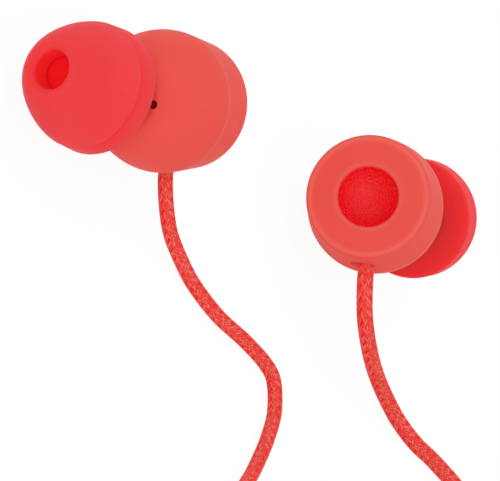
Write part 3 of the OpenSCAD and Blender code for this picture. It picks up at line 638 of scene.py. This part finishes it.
def plugBody():
    # bend relief and grip, each one profile round the plug's axis
    p = plug
    start = p["bootLength"]
    inside = start + p["bootPlug"]
    end = start + p["gripLength"]
    tail, bore, corner = p["bootEdge"], p["bootRadius"] + p["play"], p["gripRadius"] - p["gripEdge"]
    boot = np.vstack([
        [(0, p["bootInside"]), (p["cordBore"], p["bootInside"]), (p["cordBore"], 0)],
        arc((p["bootTail"] - tail, tail), tail, -90, 0, 5),
        straight((p["bootTail"], tail), (p["bootRadius"], start), 0.2)[1:],
        [(p["bootRadius"], inside), (0, inside)]])
    grip = np.vstack([
        [(bore, inside), (bore, start)],
        arc((corner, start + p["gripEdge"]), p["gripEdge"], -90, 0, 12),
        arc((corner, end - p["gripEdge"]), p["gripEdge"], 0, 90, 12),
        [(p["pinBore"], end), (p["pinBore"], end - p["pinDepth"]), (0, end - p["pinDepth"]),
         (0, inside + p["play"]), (bore, inside)]])
    boot, grip = onPlug(revolve(boot, p["bootColumns"])), onPlug(revolve(grip, p["gripColumns"]))
    return [gridPiece("plugBoot", boot, "base", ["plug_boot"], "boot", rubber),
            gridPiece("plugGrip", grip, "base", ["plug_grip"], "soft_touch", paint)]


splitterHalves = [splitterHalf("splitterTop", ["splitter_top"], True),
                  splitterHalf("splitterBottom", ["splitter_bottom"], False)]
plugPieces = plugBody() + [nodes[n] for n in (
    "plug_sleeve", "plug_rear_insulator", "plug_ring", "plug_front_insulator", "plug_tip")]
print("splitter and plug made")


cord = {
    "diameters": {"left": 1.54, "right": 1.72, "main": 1.5},  # where it is seen: the right one is braided looser
    "fineLengths": {"left": 75, "right": 75, "main": 0.5},  # so far the single strands are in the mesh
    "runDown": 25,  # the end of that length, over which the diameter runs down to the coiled one
    "coiledDiameter": 1.5,
    "strandsRound": 16,  # strands of one direction round the cord, each over two and under two
    "strandPitch": 0.53,  # along the cord from one strand to the next
    "yarns": 2,  # yarns side by side in a strand
    "relief": 0.02,  # height of a strand's round crown
    "dive": (0.45, 0.55),  # share of the crown where the strand dives, and what it gains between two dives
    "crownLevel": 0.6,  # share of the crown that lies at the cord's own radius
    "pitRows": 2,  # strands from one row of pits to the next
    "pitDepth": 0.06, "pitReach": 0.3,  # the reach as a share of a column and of a row
    "pitSlant": 1.5,  # lean of the pits, one way and the other by turns round the cord
    "roll": 0.106,  # turns by which the braid is rolled about its cord
    "sides": {"left": 64, "right": 64, "main": 32},
    "nearStep": 0.13,  # ring spacing where the single strands are in the mesh, and elsewhere
    "farStep": 0.36,
    "curvePoints": 16,  # between two points of a route
}

coils = {
    "left": {"centre": (-22, -45.5), "radius": 7.5, "turns": 4.5, "layers": 2, "sense": 1},
    "right": {"centre": (42, -48.8), "radius": 9.0, "turns": 4.5, "layers": 2, "sense": -1},
    "main": {"centre": (3, -48.3), "radius": 8.3, "turns": 15.5, "layers": 4, "sense": 1},
}
coiling = {
    "pitch": 2.0,  # from turn to turn and from layer to layer
    "floor": 1.25,  # height of the lowest layer's middle
    "start": 90, "pointsRound": 48,
}

routes = {
    "left": [
        (-15.1, 0.05, 4.7), (-15.16, -1.37, 4.09),
        (-15.2, -3, 3.65), (-14.1, -6, 2.5), (-13.1, -7.5, 1.9), (-10.3, -10.8, 1), (-9, -12.4, 0.85),
        (-5.8, -15.5, 0.8), (-1.5, -18.3, 0.8), (1.5, -20.8, 0.8), (2.3, -22.3, 0.8), (1.2, -25.7, 0.8),
        (-1.4, -28.6, 0.8), (-3.8, -30.6, 0.8), (-6.5, -32.5, 0.85), (-9.6, -34.1, 0.95),
        (-13, -35.1, 1.1), (-16.5, -35.5, 1.2)],
    "right": [
        (14.58, -10.83, 7.95), (14.3, -12.31, 7.6),
        (13.98, -13.6, 7.32), (14.05, -16.4, 6.5), (14.6, -17.9, 5.9), (17.2, -20.8, 4.2),
        (20.9, -23.4, 2.35), (24.2, -26.1, 1.22), (25.5, -27.5, 1.0), (28.3, -30.1, 0.87),
        (31, -31.9, 0.87), (33.2, -33.6, 0.88), (37, -36.9, 1.1)],
    "leftTail": [
        (-15, -55.7, 2.6), (-11.9, -57, 1.8), (-8.6, -58.9, 1.1), (-5, -60.7, 0.85), (-1, -62, 0.8),
        (3, -62.4, 0.8), (7.5, -62.4, 0.8), (12, -62.3, 0.8), (16, -61.6, 0.85), (19, -59.9, 1.1),
        (20.8, -57.8, 1.7), (21.2, -56, 2.2), (21.2, -52, 2.2)],
    "rightTail": [
        (34.5, -60.2, 2.5), (31.5, -60.4, 1.7), (28.7, -60.3, 1.2), (26.3, -59.6, 1.15),
        (24.6, -58, 1.6), (23.8, -56, 2.2), (23.8, -52, 2.2)],
    "main": [
        (22.5, -48, 2.2), (22.5, -44, 2.2), (22.4, -42, 2.15), (21.6, -39.5, 1.85), (19.5, -37.3, 1.5),
        (16.4, -36.2, 1.3), (12.5, -36.1, 1.25), (8.5, -36.1, 1.25)],
    "mainTail": [
        (7.3, -60.6, 7.2), (10.2, -61.5, 6.9), (12.2, -63.5, 6.3), (12.5, -66.2, 5.4),
        (10.8, -68.5, 4.6), (7.8, -69.4, 4), (4.6, -69.4, 3.65), (2, -69.4, 3.6), (-2.8, -69.4, 3.6)],
}


def coilLine(c):
    # the radius goes in and out again by the pitch for each turn, and where it turns back, the height climbs by the
    # pitch in a smooth step of 3 squares less 2 cubes. The ends run on straight
    pitch, width = coiling["pitch"], cord["coiledDiameter"]
    turn = np.linspace(0, c["turns"], int(c["turns"] * coiling["pointsRound"]) + 1)
    share = c["turns"] / c["layers"]
    layer = np.minimum(np.floor(turn / share), c["layers"] - 1)
    swing = pitch * share / 2
    radius = c["radius"] + np.where(layer % 2 == 0, 1, -1) * (swing - pitch * (turn - layer * share))
    angle = np.radians(coiling["start"] + c["sense"] * 360 * turn)
    height = np.full(len(turn), coiling["floor"])
    for k in range(1, c["layers"]):
        u = np.clip(2 * (turn - k * share) + 0.5, 0, 1)
        height += pitch * u * u * (3 - 2 * u)
    line = np.stack([c["centre"][0] + radius * np.cos(angle), c["centre"][1] + radius * np.sin(angle), height], 1)
    ends = angle[[0, -1]]
    way = c["sense"] * np.stack([-np.sin(ends), np.cos(ends), [0, 0]], 1)
    lead = np.array([line[0] - 2 * width * way[0], line[0] - width * way[0]])
    tail = np.array([line[-1] + width * way[1], line[-1] + 2 * width * way[1]])
    return np.vstack([lead, line, tail])


def smoothLine(points, steps):
    # centripetal Catmull-Rom curve: each stretch mixes its four points in pairs, three times over, by knots that are
    # as far apart as the square roots of the points' distances. It is read off at the distances steps(length) gives
    p = np.asarray(points, float)
    p = np.vstack([2 * p[0] - p[1], p, 2 * p[-1] - p[-2]])
    a, b, c, d = (p[i:len(p) - 3 + i][:, None] for i in range(4))
    t1 = np.sqrt(np.linalg.norm(b - a, axis=2, keepdims=True))
    t2 = t1 + np.sqrt(np.linalg.norm(c - b, axis=2, keepdims=True))
    t3 = t2 + np.sqrt(np.linalg.norm(d - c, axis=2, keepdims=True))
    t = t1 + (t2 - t1) * np.linspace(0, 1, cord["curvePoints"], endpoint=False)[None, :, None]

    def mix(one, other, start, end):
        # from one at the first knot to the other at the second
        return (end - t) / (end - start) * one + (t - start) / (end - start) * other

    a1, a2, a3 = mix(a, b, 0, t1), mix(b, c, t1, t2), mix(c, d, t2, t3)
    b1, b2 = mix(a1, a2, 0, t2), mix(a2, a3, t1, t3)
    fine = np.vstack([mix(b1, b2, t1, t2).reshape(-1, 3), p[-2]])
    far = np.concatenate([[0], np.cumsum(np.linalg.norm(np.diff(fine, axis=0), axis=1))])
    at = steps(far[-1])
    return np.stack([np.interp(at, far, fine[:, k]) for k in range(3)], 1), at


def braidHeight(u, v, fine):
    # two crossing families of strands, each over two and under two: the height is a strand's round crown times
    # its rise between its two dives, less a pit where the strands draw apart, four columns of pits round the cord
    a, b = u * cord["strandsRound"] - v, u * cord["strandsRound"] + v
    fa, fb = a - np.floor(a), b - np.floor(b)
    step = (np.floor(a) + np.floor(b)) % 4
    across = np.where(step < 2, fa, fb)
    along = (np.where(step < 2, fb, fa) + step % 2) / 2
    low, gain = cord["dive"]
    crown = np.sqrt(np.clip(1 - (2 * across - 1) ** 2, 0, 1)) * (low + gain * np.sin(np.pi * along))
    crown = crown - cord["crownLevel"]
    aside, down = (4 * u) % 1 - 0.5, (v / cord["pitRows"] + 0.5) % 1 - 0.5
    slant = np.where((4 * u) % 2 < 1, 1.0, -1.0) * cord["pitSlant"]
    reach = cord["pitReach"]
    pit = np.clip(1 - np.abs(aside) / reach, 0, 1) * np.clip(1 - np.abs(down - slant * aside) / reach, 0, 1)
    return cord["relief"] * crown * fine - cord["pitDepth"] * pit


def braidedCord(name, points):
    # a ring of points round each point of the cord's line: half the diameter plus the braid's height, sideways with
    # the angle's cosine and up with its sine
    fineLength = cord["fineLengths"][name]

    def steps(length):
        # distances along the cord, closer over its fine length
        near = np.arange(0, min(fineLength, length), cord["nearStep"])
        far = np.linspace(min(fineLength, length), length, int((length - fineLength) / cord["farStep"]) + 2)
        return np.concatenate([near, far])

    line, at = smoothLine(points, steps)
    way = unit(np.gradient(line, axis=0))
    side = unit(np.cross(way, (0, 0, 1)))
    up = np.cross(side, way)
    n = cord["sides"][name]
    u = np.arange(n) / n
    diameter = cord["diameters"][name]
    v = at / cord["strandPitch"] / (diameter / cord["diameters"]["left"])
    thick = np.interp(at, [fineLength - cord["runDown"], fineLength], [diameter, cord["coiledDiameter"]])
    fine = (at < fineLength)[:, None]
    radius = thick[:, None] / 2 + braidHeight(u[None, :], v[:, None], fine)
    angle = 2 * np.pi * (u[None, :, None] + cord["roll"])
    ring = line[:, None] + radius[..., None] * (np.cos(angle) * side[:, None] + np.sin(angle) * up[:, None])
    quads = gridQuads(len(line), n)
    uu = np.concatenate([u, [1]])
    i, j = np.divmod(np.arange(len(quads)), n)
    corners = [(uu[j], v[i]), (uu[j + 1], v[i]), (uu[j + 1], v[i + 1]), (uu[j], v[i + 1])]
    uv = np.stack([np.stack(c, 1) for c in corners], 1)
    return meshPiece(name + "Cord", ring.reshape(-1, 3), quads, uv), line


def braidedYarn():
    # braided polyester yarn, two to a strand: coral, painted lighter on the strands' crowns, with painted highlights
    # along some yarns, painted shade between them, and four columns of pits round the cord painted deep red as painted
    # shade
    braid, tree, shader = newMaterial("braidedYarn", Roughness=0.85, Specular_IOR_Level=0.12, Sheen_Weight=0.25,
                                      Sheen_Roughness=0.5, Sheen_Tint=linear("FFB0A0"))
    place = addNode(tree, "TexCoord").outputs
    flat = addNode(tree, "SeparateXYZ", None, place["UV"]).outputs
    at = {"u": flat["X"], "v": flat["Y"], "place": place["Object"]}
    strands, yarns, slant = cord["strandsRound"], cord["yarns"], cord["pitSlant"]
    signs = {"+": "ADD", "-": "SUBTRACT", "*": "MULTIPLY", "*+": "MULTIPLY_ADD", "%": "FLOORED_MODULO",
             ">": "GREATER_THAN", "clamped": {"operation": "MULTIPLY_ADD", "use_clamp": True}}
    # fibres, really 0.02 mm thick, are drawn 0.1 mm coarse to show
    kinds = {"joined": ("CombineXYZ", None), "random": ("TexWhiteNoise", {"noise_dimensions": "4D"}),
             "from0.45": ("MapRange", {"From Min": 0.45}),
             "fibrous": ("TexNoise", {"Scale": 1 / (0.1 * mm), "Detail": 3.0})}
    # a name, how it is worked out, and from what: numbers, or names that have been worked out before
    rows = [
        # the two families of strands, and whether the second one is on top
        ("turns", "*", "u", strands), ("a", "-", "turns", "v"), ("b", "+", "turns", "v"), ("floorA", "FLOOR", "a"),
        ("floorB", "FLOOR", "b"), ("partA", "FRACT", "a"), ("partB", "FRACT", "b"), ("both", "+", "floorA", "floorB"),
        ("step", "%", "both", 4.0), ("second", ">", "step", 1.5),
        # the place across the strand on top, and its round crown, lower where it dives
        ("change", "-", "partB", "partA"), ("across", "*+", "second", "change", "partA"),
        ("parts", "+", "partA", "partB"), ("under", "-", "parts", "across"), ("odd", "%", "step", 2.0),
        ("way", "+", "under", "odd"), ("along", "*", "way", np.pi / 2), ("rise", "SINE", "along"),
        ("lift", "*+", "rise", 0.5, 0.5), ("bend", "*", "across", np.pi), ("round", "SINE", "bend"),
        ("crown", "*", "round", "lift"),
        # which strand it is, which of its stretches on top, and which yarn in it
        ("notSecond", "-", 1.0, "second"), ("first", "*", "floorA", "notSecond"), ("shifted", "+", "floorB", 3.0),
        ("number", "*+", "second", "shifted", "first"), ("strand", "%", "number", strands),
        ("fours", "*", "both", 0.25), ("stretch", "FLOOR", "fours"), ("yarns", "*", "across", yarns),
        ("yarn", "FLOOR", "yarns"), ("yarnPart", "FRACT", "yarns"), ("yarnBend", "*", "yarnPart", np.pi),
        ("yarnCrown", "SINE", "yarnBend"),
        # four columns of pits, leaning one way and the other by turns: full within 0.08 of a column and 0.1 of a row,
        # gone at 0.28 and 0.27
        ("columns", "*", "u", 4.0), ("columnPart", "FRACT", "columns"), ("aside", "-", "columnPart", 0.5),
        ("rows", "*+", "v", 1 / cord["pitRows"], 0.5), ("rowPart", "FRACT", "rows"), ("down", "-", "rowPart", 0.5),
        ("column", "FLOOR", "columns"), ("oddColumn", "%", "column", 2.0),
        ("tilt", "*+", "oddColumn", -2 * slant, slant), ("lean", "*", "tilt", "aside"),
        ("offColumn", "ABSOLUTE", "aside"), ("near", "clamped", "offColumn", -5.0, 1.4),
        ("fromLean", "-", "down", "lean"), ("offRow", "ABSOLUTE", "fromLean"), ("leg", "clamped", "offRow", -6.0, 1.6),
        ("pit", "*", "near", "leg"),
        # the painted shade between two yarns, painted highlights on yarns picked by chance, and the height
        ("notCrown", "-", 1.0, "yarnCrown"), ("gap", "*", "notCrown", 0.55),
        ("which", "joined", "strand", "stretch", "second"), ("chance", "random", "which", "yarn"),
        ("fair", "from0.45", "chance"), ("fairCrown", "*", "fair", "yarnCrown"), ("pale", "*", "fairCrown", "crown"),
        ("fibre", "fibrous", "place"), ("fuzz", "*+", "fibre", 0.4, "yarnCrown"), ("rest", "-", "crown", "pit"),
        ("height", "+", "fuzz", "rest"),
    ]
    for name, sign, *terms in rows:
        kind, settings = kinds.get(sign, ("Math", signs.get(sign, sign)))
        at[name] = addNode(tree, kind, settings, *[at.get(term, term) for term in terms])
    # painted light and shade: lighter on the crowns, darker between the yarns and in the pits, with painted highlights
    # on some yarns
    tone = mixTones(tree, at["crown"], "F0372D", "F85549")
    for share, colour in (("gap", "F0241E"), ("pale", "FAA89A"), ("pit", "F41410")):
        tone = mixTones(tree, at[share], tone, colour)
    bump = addNode(tree, "Bump", {"Strength": 0.6, "Distance": 0.03 * mm}, Height=at["height"])
    feed(tree, shader, Base_Color=tone, Normal=bump)
    return braid


def layCords():
    # each cord is one tube from its exit through its coil to its far end
    braid = braidedYarn()
    for name, others in (("left", splitterHalves), ("right", splitterHalves), ("main", plugPieces)):
        points = np.vstack([routes[name], coilLine(coils[name]), routes[name + "Tail"]])
        piece, line = braidedCord(name, points)
        finishPiece(piece, "base", [f"{name}_cord", f"{name}_coil", f"{name}_tail"], "braid", braid)


layCords()
print("cords laid")


metal = {"Metallic": 1.0}
innerFinishes = {
    # by the solid's slot: name, colour, roughness, pattern size and height, then what is not a plain moulding
    "felt": (("pressedFelt", "3A383A", 0.92, 0.15, 0.08), {"Sheen_Weight": 0.3}),  # wool fibres: dull, fuzzy
    "foam": (("closedCellFoam", "2C2C2E", 0.9, 0.25, 0.08, "Voronoi"), {}),  # cut cells: dark pits
    "frame_metal": (("pressedAluminium", "C9CBCE", 0.35, 0.4, 0.004), metal),  # satin pressed sheet
    "film": (("polyesterFilm", "D9C79A", 0.14, 1.5, 0.003), {"IOR": 1.57}),  # glossy, a little yellow
    "copper": (("enamelledCopper", "C8703A", 0.28, 0.1, 0.01), {**metal, "Coat_Weight": 0.6}),  # lacquered, bright
    "steel": (("zincPlatedSteel", "AFB3B8", 0.38, 0.3, 0.004), metal),  # clear zinc, a bit cloudy
    "magnet": (("nickelPlate", "B9B6AE", 0.22, 0.5, 0.003), metal),  # bright, slightly warm
    "board": (("glassEpoxyBoard", "1E6B3A", 0.4, 0.3, 0.006, "Wave"), {"Specular_IOR_Level": 0.6}),  # green, woven
    "crimp": (("tinnedCrimp", "C6C8CB", 0.32, 0.25, 0.006), metal),  # pinched, dulled tin
    "tie": (("tieRubber", "3C3C40", 0.68, 0.2, 0.012), {}),  # black rubber, matt
    "contact": (("goldPlate", "F2CE86", 0.16, 0.25, 0.003, "Wave"), metal),  # turned rings under gold
    "insulator": (("blackNylon", "1C1C1E", 0.45, 0.2, 0.004), {}),  # satin black moulding
}


def wireCloth(side):
    # steel wire cloth under matt red lacquer: a wire's height is the sine of its distance from the gap, and the gaps
    # between both sets of wires are painted dark, as painted shade for the openings. The real wires, half as far apart,
    # would not show
    cloth, tree, shader = newMaterial(side + "LacqueredWireCloth", Roughness=0.55, Specular_IOR_Level=0.05)
    apart = 0.2 * mm
    turn = earpieceTurn(side) @ nozzleTurn()
    place = addNode(tree, "TexCoord").outputs["Object"]
    own = addNode(tree, "Mapping", {"Rotation": Matrix(turn.T.tolist()).to_euler()}, place)
    flat = addNode(tree, "SeparateXYZ", None, own)
    wires = []
    for axis in ("X", "Y"):
        angle = addNode(tree, "Math", "MULTIPLY", flat.outputs[axis], np.pi / apart)
        wires.append(addNode(tree, "Math", "ABSOLUTE", addNode(tree, "Math", "SINE", angle)))
    height = addNode(tree, "Math", "MAXIMUM", *wires)
    solid = addNode(tree, "MapRange", {"From Min": 0.25, "From Max": 0.45}, height)
    tone = mixTones(tree, solid, "8A0A10", "FF1C22")
    bump = addNode(tree, "Bump", {"Strength": 0.6, "Distance": 0.03 * mm}, Height=height)
    feed(tree, shader, Base_Color=tone, Normal=bump)
    return cloth


def dressNodes():
    # the solids that stay get their finishes by slot; what is wound or woven lies along its own earpiece
    slots = {part["node"]: part["material_slot"] for part in frame["record"]["subparts"]}
    finishes = {slot: plainFinish(*given, **more) for slot, (given, more) in innerFinishes.items()}
    for side in earpieces:
        finishes[side + "_nozzle_mesh"] = wireCloth(side)
        # windings of lacquered copper wire: fine shining rings, drawn twice as far apart as they are, to show
        finishes[side + "_voice_coil"] = plainFinish(
            side + "CopperWinding", "C8703A", 0.28, 0.12, 0.03, "Wave", earpieceTurn(side),
            Metallic=1.0, Coat_Weight=0.6)
    for name, node in nodes.items():
        if not node.hide_render:
            dress(node, finishes.get(name, finishes.get(slots[name])))


dressNodes()
print("inner parts dressed")


studio = {
    "sky": 0.78,  # what the sky gives besides the white that the camera sees
    "lamps": {
        "front": {"from": (-0.85, -0.13, 0.51), "strength": 0.34},
        "low": {"from": (-0.5, -0.78, 0.37), "strength": 0.28},
        "rim": {"from": (0.37, 0.53, 0.75), "strength": 0.3},
    },
    "softness": 60,  # how wide each lamp looks from the object
    "floor": {"reach": 1500, "height": -0.02, "colour": "F8F8F8", "glow": 1.03, "glowShare": 0.9},
}


def whiteSeen(tree):
    # 1 for what the camera and reflections see directly, 0 for what lights the object
    rays = addNode(tree, "LightPath").outputs
    seen = addNode(tree, "Math", "MAXIMUM", rays["Is Camera Ray"], rays["Is Glossy Ray"])
    return addNode(tree, "Math", "MAXIMUM", seen, rays["Is Transmission Ray"])


def addStage():
    # a white floor that keeps a soft shadow, a white sky, and three wide soft lights
    f = studio["floor"]
    corners = [(x * f["reach"], y * f["reach"], f["height"]) for x, y in ((-1, -1), (1, -1), (1, 1), (-1, 1))]
    floor = meshPiece("floor", corners, np.array([[0, 1, 2, 3]]))
    # matt white paint: to the camera most of it is a glow that comes to plain white with the share that is lit
    white, tree, shader = newMaterial("floorPaint", Base_Color=linear(f["colour"]), Roughness=0.9,
                                      Specular_IOR_Level=0.1)
    glow = addNode(tree, "Emission", {"Color": (1, 1, 1, 1), "Strength": f["glow"]})
    share = addNode(tree, "Math", "MULTIPLY", whiteSeen(tree), f["glowShare"])
    mixed = addNode(tree, "MixShader", None, share, shader, glow)
    tree.links.new(mixed.outputs[0], tree.nodes["Material Output"].inputs["Surface"])
    dress(floor, white)
    world = bpy.data.worlds.new("studio")
    bpy.context.scene.world = world
    world.use_nodes = True
    tree = world.node_tree
    level = addNode(tree, "MapRange", {"To Min": studio["sky"]}, whiteSeen(tree))
    tree.nodes["Background"].inputs["Color"].default_value = (1, 1, 1, 1)
    tree.links.new(level.outputs[0], tree.nodes["Background"].inputs["Strength"])
    for name, s in studio["lamps"].items():
        lamp = bpy.data.lights.new(name, "SUN")
        lamp.energy, lamp.angle = s["strength"], np.radians(studio["softness"])
        back = unit(s["from"])
        right = unit(np.cross((0, 1, 0), back))
        light = bpy.data.objects.new(name, lamp)
        light.matrix_world = axesMatrix(right, np.cross(back, right), back)
        bpy.context.scene.collection.objects.link(light)


addStage()
bpy.context.scene.view_settings.view_transform = "Standard"
